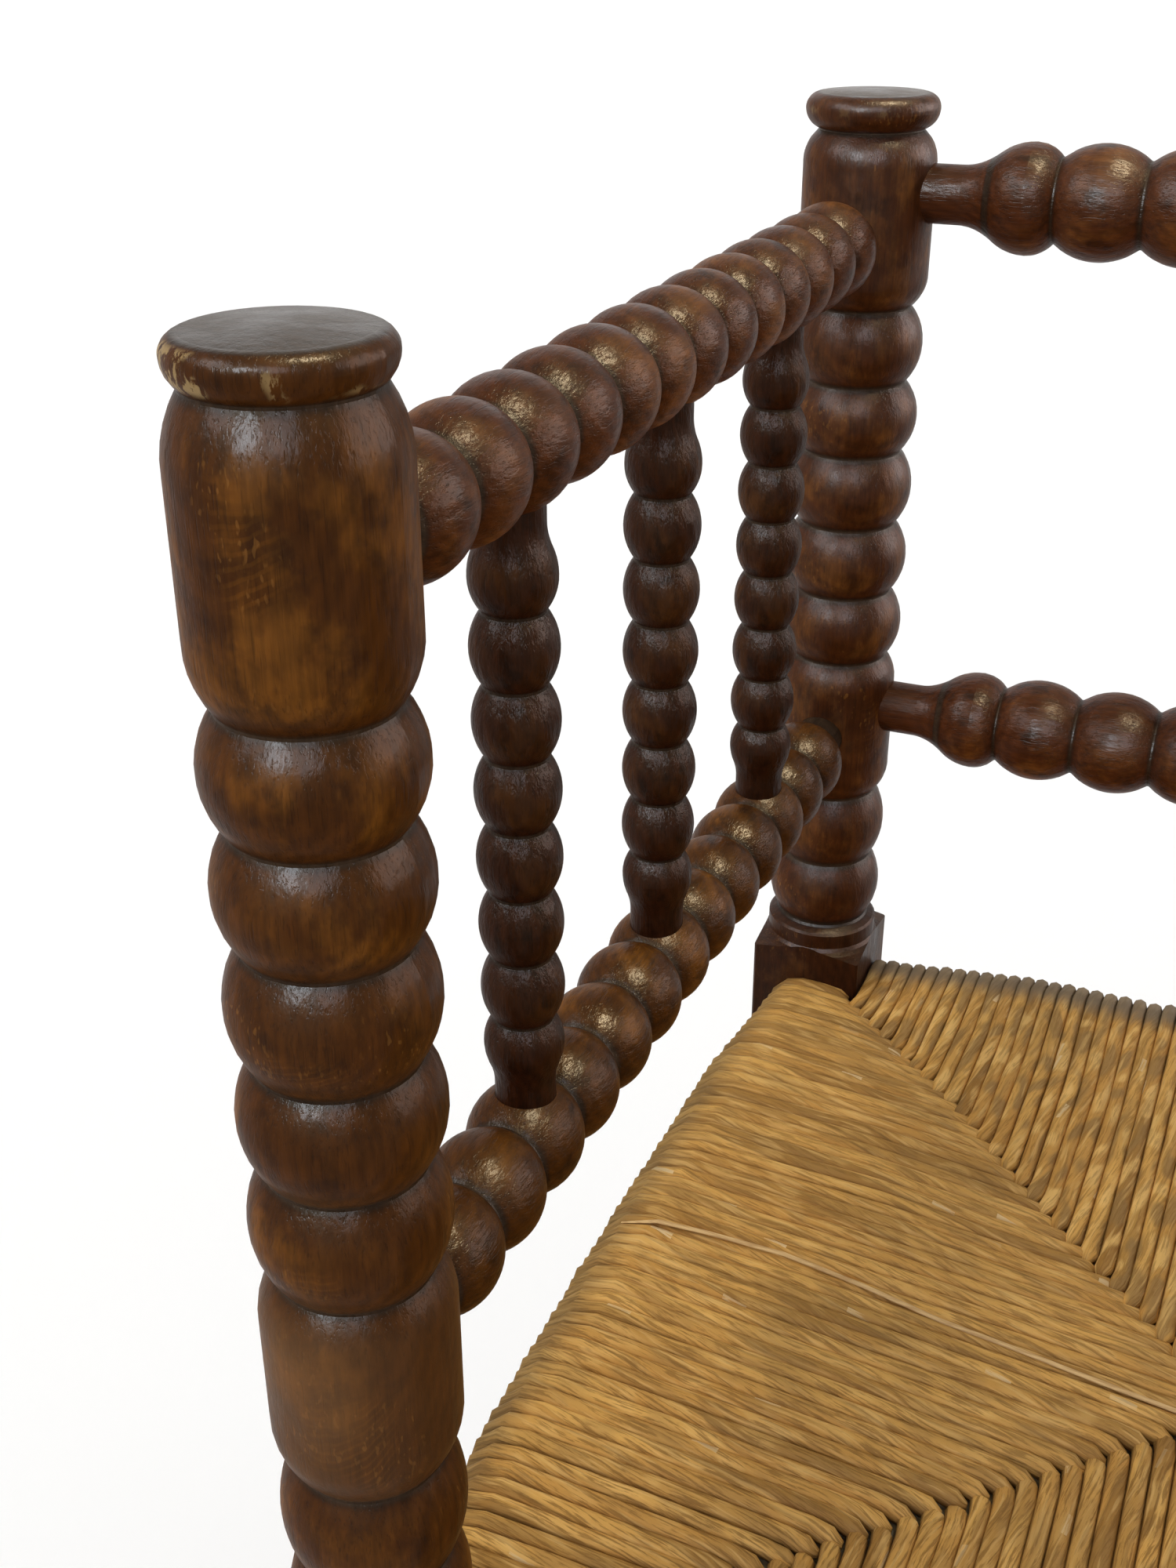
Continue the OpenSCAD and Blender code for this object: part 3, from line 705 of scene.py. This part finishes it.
# How far the seat is drawn in beside a post, at a distance from the post's axis
def drawn_in(distance):
    share = np.clip((distance - POST_R) / CORNER_STRETCH, 0, 1)
    slow = np.clip((distance - POST_R) / SLOW_STRETCH, 0, 1)
    return CORNER_DRAW * (1 - share * share * (3 - 2 * share)) + SLOW_DRAW * (1 - slow)


# A row of copies of the master cord, as one piece
def row_of_cords(name, master, count, pitch):
    nothing_selected()
    made = master.copy()
    made.data = master.data.copy()
    made.name = name
    made.data.name = name
    bpy.context.scene.collection.objects.link(made)
    bpy.context.view_layer.objects.active = made
    made.select_set(True)
    row = made.modifiers.new("row", "ARRAY")
    row.count = count
    row.use_relative_offset = False
    row.use_constant_offset = True
    row.constant_offset_displace = (0, pitch, 0)
    bpy.ops.object.modifier_apply(modifier="row")
    return made


# How far a cord goes past the mitre seam: those of one half lie over the seam, the others end under them
OVER_REACH = 0.0075
UNDER_REACH = -0.0060

# How far the tips sink: over the seam, under it, and where the cords of both long sides meet in the middle
# of the seat. There every other one sinks by NEXT_DIP more
OVER_DIP = 0.0008
UNDER_DIP = 0.0030
MEETING_DIP = 0.0006
NEXT_DIP = 0.0016
DIP_LENGTH = 0.014

# The room beside a post, the gap between cords that meet, and how far a tip at the seam goes sideways
POST_GAP = 0.0005
MEETING_GAP = 0.0008
TUCK = 0.0016

# The width of a cord as a share of the master's, and how much it varies
PLUMP = 1.03
PLUMP_SPREAD = 0.05

# The other unevenness of hand work, in metres
REACH_SPREAD = 0.0005
LIFT_SPREAD = 0.00018
LONG_WANDER = 0.0006
SHORT_WANDER = 0.0004


# Fits a row of straight cords to the seat. Returns the length along its cord at which each ring lies
def fit_cords(made, count, pitch, half_len, seed, chance):
    numbers = np.arange(count)
    points = points_of(made.data).reshape(count, -1, SIDES, 3)
    points[..., 1] -= pitch * numbers[:, None, None]
    along = pitch * (numbers + 0.5 - count / 2)
    to_post = half_len - np.abs(along)
    meets = to_post > HALF_D

    reach = np.where(along < 0, to_post + OVER_REACH, to_post + UNDER_REACH)
    reach = np.minimum(reach, HALF_D - MEETING_GAP)
    reach = (reach + chance.normal(0, REACH_SPREAD, count))[:, None, None]
    dip = np.where(along < 0, OVER_DIP, UNDER_DIP)
    dip = np.where(meets, MEETING_DIP + NEXT_DIP * (numbers % 2), dip)[:, None, None]
    plump = PLUMP + chance.normal(0, PLUMP_SPREAD, count)[:, None, None]
    lift = chance.normal(0, LIFT_SPREAD, count) - drawn_in(to_post)
    lift = 1 + lift[:, None, None] / CORD_LEVEL

    x = np.where(points[..., 0] < 0, points[..., 0] * lift, points[..., 0])
    y = points[..., 1] * plump
    z = points[..., 2] * lift
    run_x = x / RUN * (reach - TIP)
    tip_x = reach - (RUN + TIP - x)
    x = np.where(x <= 0.0001, x, np.where(x <= RUN + 0.0001, run_x, tip_x))
    near_tip = np.clip((x - reach + DIP_LENGTH) / DIP_LENGTH, 0, 1) ** 2
    sag = sag_at(np.maximum(x, 0))
    z = np.where(z > 0, z - sag - dip * near_tip, z - UNDER_SAG * sag + dip * near_tip)

    centres = np.stack([x.mean(2), z.mean(2)], -1)
    steps = np.linalg.norm(np.diff(centres, axis=1), axis=-1)
    length = np.concatenate([np.zeros((count, 1)), np.cumsum(steps, axis=1)], 1)
    from_rail = (length - length[:, RAIL_RING:RAIL_RING + 1])[:, :, None]
    place = along[:, None, None]
    wander = LONG_WANDER * np.sin(from_rail * 55 + place * 33 + seed)
    wander += SHORT_WANDER * np.sin(from_rail * 130 - place * 70 + 2 * seed)
    tuck = np.where(meets, 0, np.sign(along))[:, None, None] * TUCK * near_tip
    fitted = np.stack([x, y + place + wander + tuck, z], -1)
    made.data.vertices.foreach_set("co", fitted.ravel())
    return length


# Where each point of a ring lies round the cord, from the inside of the seat at 0 to the outside at 0.5
def ring_angles(master):
    ring = points_of(master.data)[RAIL_RING * SIDES:(RAIL_RING + 1) * SIDES]
    turns = np.arctan2(ring[:, 2] - CORD_LEVEL, ring[:, 1]) / (2 * np.pi)
    return (turns + 0.25) % 1


# The map of the cords: U is the number of the cord and the share round it, V the length along it
def map_cords(made, master, length, chance):
    count, rings = length.shape
    point = np.zeros(len(made.data.loops), int)
    made.data.loops.foreach_get("vertex_index", point)
    cord, rest = np.divmod(point, rings * SIDES)
    ring, side = np.divmod(rest, SIDES)
    angle = ring_angles(master)[side]
    start = chance.uniform(0, 1, count)
    places = np.stack([cord + angle, length[cord, ring] + start[cord]], -1)
    for face in made.data.polygons:
        held = list(face.loop_indices)
        turns = angle[held]
        if turns.max() - turns.min() > 0.5:
            for k, value in zip(held, turns):
                if value < 0.5:
                    places[k, 0] += 1
    layer = made.data.uv_layers.new(name="cord")
    layer.data.foreach_set("uv", places.ravel())


# The cords of one side of the seat. half_len is half the distance between the axes of its posts, rail_line
# the distance of its rail from the middle of the seat, and turn counts quarter turns from the left side
def lay_cords(name, master, half_len, rail_line, turn, seed, finish):
    room = 2 * (half_len - POST_R - POST_GAP)
    count = round(room / CORD_PITCH)
    made = row_of_cords(name, master, count, room / count)
    chance = np.random.default_rng(seed)
    length = fit_cords(made, count, room / count, half_len, seed, chance)
    map_cords(made, master, length, chance)
    bpy.ops.object.shade_smooth()
    to_side = Matrix.Rotation(math.radians(90 * turn), 4, "Z") @ Matrix.Translation((-rail_line, 0, 0))
    made.data.transform(to_side)
    made.data.transform(Matrix.Translation((0, 0, RAIL_Z)))
    made.data.materials.clear()
    made.data.materials.append(finish)
    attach(made, "root")
    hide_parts("rush_seat")


master = cord_master()
lay_cords("rush_left", master, HALF_D, HALF_W, 0, 3, rush_finish)
lay_cords("rush_front", master, HALF_W, HALF_D, 1, 5, rush_finish)
lay_cords("rush_right", master, HALF_D, HALF_W, 2, 7, rush_finish)
lay_cords("rush_back", master, HALF_W, HALF_D, 3, 11, back_rush_finish)
bpy.data.objects.remove(master)


# Loose leaf packed between the two layers
def packing_finish():
    finish, tree, shader = start_finish("rush_packing")
    place = add(tree, "TexCoord").outputs["Object"]
    leaves = noise(tree, stretched(tree, place, (0.12, 1, 1), rotation=(0, 0, 0.35)), 300.0, 4.0, 0.65)
    wads = noise(tree, place, 45.0, 2.0)
    base = blended(tree, span(tree, leaves, 0.32, 0.68), colour(0.10, 0.07, 0.03), colour(0.34, 0.25, 0.11))
    base = blended(tree, span(tree, wads, 0.45, 0.65, 0.0, 0.6), base, colour(0.09, 0.06, 0.025))
    feed(tree, shader, {
        "Base Color": base,
        "Roughness": span(tree, leaves, 0.3, 0.7, 0.7, 0.9),
        "Normal": bumped(tree, leaves, 0.8, 0.001).outputs[0],
    })
    return finish


# Half the thickness of the packing, its unevenness and its room under the cords, in metres. It thins to
# EDGE_SHARE of its thickness at its edge, over EDGE_WIDTH from EDGE_INSET inside the line of the posts
PACKING_HALF_T = 0.0143
PACKING_SWELL = 0.0006
PACKING_ROOM = 0.0006
EDGE_SHARE = 0.45
EDGE_INSET = 0.022
EDGE_WIDTH = 0.02


def pack_seat():
    nothing_selected()
    low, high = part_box("rush_stuffing")
    bpy.ops.mesh.primitive_cube_add(size=1, location=(low + high) / 2)
    made = bpy.context.object
    bpy.ops.object.mode_set(mode="EDIT")
    bpy.ops.transform.resize(value=tuple(high - low))
    bpy.ops.mesh.subdivide(number_cuts=31)
    bpy.ops.object.mode_set(mode="OBJECT")
    bpy.ops.object.transform_apply(location=True, rotation=True, scale=True)
    points = points_of(made.data)
    inset_x = HALF_W - np.abs(points[:, 0])
    inset_y = HALF_D - np.abs(points[:, 1])
    inset = np.minimum(inset_x, inset_y)
    corner = drawn_in(np.maximum(inset_x, inset_y))
    level = (points[:, 2] - (low.z + high.z) / 2) / (high.z - low.z) * 2
    crown = np.clip((inset - EDGE_INSET) / EDGE_WIDTH, 0, 1) ** 0.5
    thick = PACKING_HALF_T * (EDGE_SHARE + (1 - EDGE_SHARE) * crown)
    swell = PACKING_SWELL * np.sin(points[:, 0] * 130) * np.sin(points[:, 1] * 170 + 1)
    sag = np.where(level > 0, 1.0, UNDER_SAG * np.sign(-level)) * sag_at(inset)
    points[:, 2] = RAIL_Z + level * (thick + swell - PACKING_ROOM - corner) - np.abs(level) * sag
    made.data.vertices.foreach_set("co", points.ravel())
    made.data.update()
    bpy.ops.object.shade_smooth()
    made.name = "seat_packing"
    made.data.materials.append(packing_finish())
    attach(made, "root")
    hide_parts("rush_stuffing")


pack_seat()


def straw_finish():
    finish, tree, shader = start_finish("pale_straw")
    place = add(tree, "TexCoord").outputs["Object"]
    lines = noise(tree, stretched(tree, place, (0.1, 1, 1)), 900.0, 3.0)
    base = blended(tree, span(tree, lines, 0.35, 0.65), colour(0.50, 0.30, 0.12), colour(0.68, 0.45, 0.20))
    feed(tree, shader, {"Base Color": base, "Roughness": 0.6, "Specular IOR Level": 0.04})
    return finish


# A loose straw across the cords of the left side: where it lies, from the outside inwards, its size, and how
# far its ends slip down between the cords
STRAW_ROUTE = [
    (-0.4975, -0.0088), (-0.4845, -0.0075), (-0.468, -0.0061), (-0.4406, -0.0048), (-0.4131, -0.0071),
    (-0.3861, -0.0107), (-0.3608, -0.0118), (-0.3361, -0.0138), (-0.3123, -0.0159), (-0.3010, -0.0170),
]
STRAW_R = 0.0008
STRAW_BROAD = 1.3
STRAW_FLAT = 0.7
STRAW_END = 0.4
OUTER_SLIP = 0.001
INNER_SLIP = 0.002


def loose_straw():
    nothing_selected()
    step = 0.01
    bpy.ops.mesh.primitive_circle_add(
        vertices=6, radius=STRAW_R, fill_type="NGON", rotation=(0, math.radians(90), 0))
    made = bpy.context.object
    bpy.ops.object.transform_apply(location=True, rotation=True, scale=True)
    bpy.ops.object.mode_set(mode="EDIT")
    bpy.ops.mesh.select_all(action="SELECT")
    for k in range(len(STRAW_ROUTE) - 1):
        onward(step)
    bpy.ops.mesh.select_all(action="SELECT")
    bpy.ops.mesh.normals_make_consistent(inside=False)
    bpy.ops.object.mode_set(mode="OBJECT")
    points = points_of(made.data)
    knot = np.rint(points[:, 0] / step).astype(int)
    route_x, route_y = np.array(STRAW_ROUTE).T
    inset = route_x + HALF_W
    level = np.where(inset > 0, ROLL_R, np.sqrt(ROLL_R ** 2 - np.minimum(inset, 0) ** 2))
    route_z = RAIL_Z + level - sag_at(np.maximum(inset, 0)) + 0.0001
    route_z[0] -= OUTER_SLIP
    route_z[-1] -= INNER_SLIP
    size = np.ones(len(STRAW_ROUTE))
    size[0] = size[-1] = STRAW_END
    points[:, 0] = route_x[knot]
    points[:, 1] = route_y[knot] + points[:, 1] * STRAW_BROAD * size[knot]
    points[:, 2] = route_z[knot] + points[:, 2] * STRAW_FLAT * size[knot]
    made.data.vertices.foreach_set("co", points.ravel())
    made.data.update()
    bpy.ops.object.shade_smooth()
    made.name = "loose_straw"
    made.data.materials.append(straw_finish())
    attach(made, "root")


loose_straw()
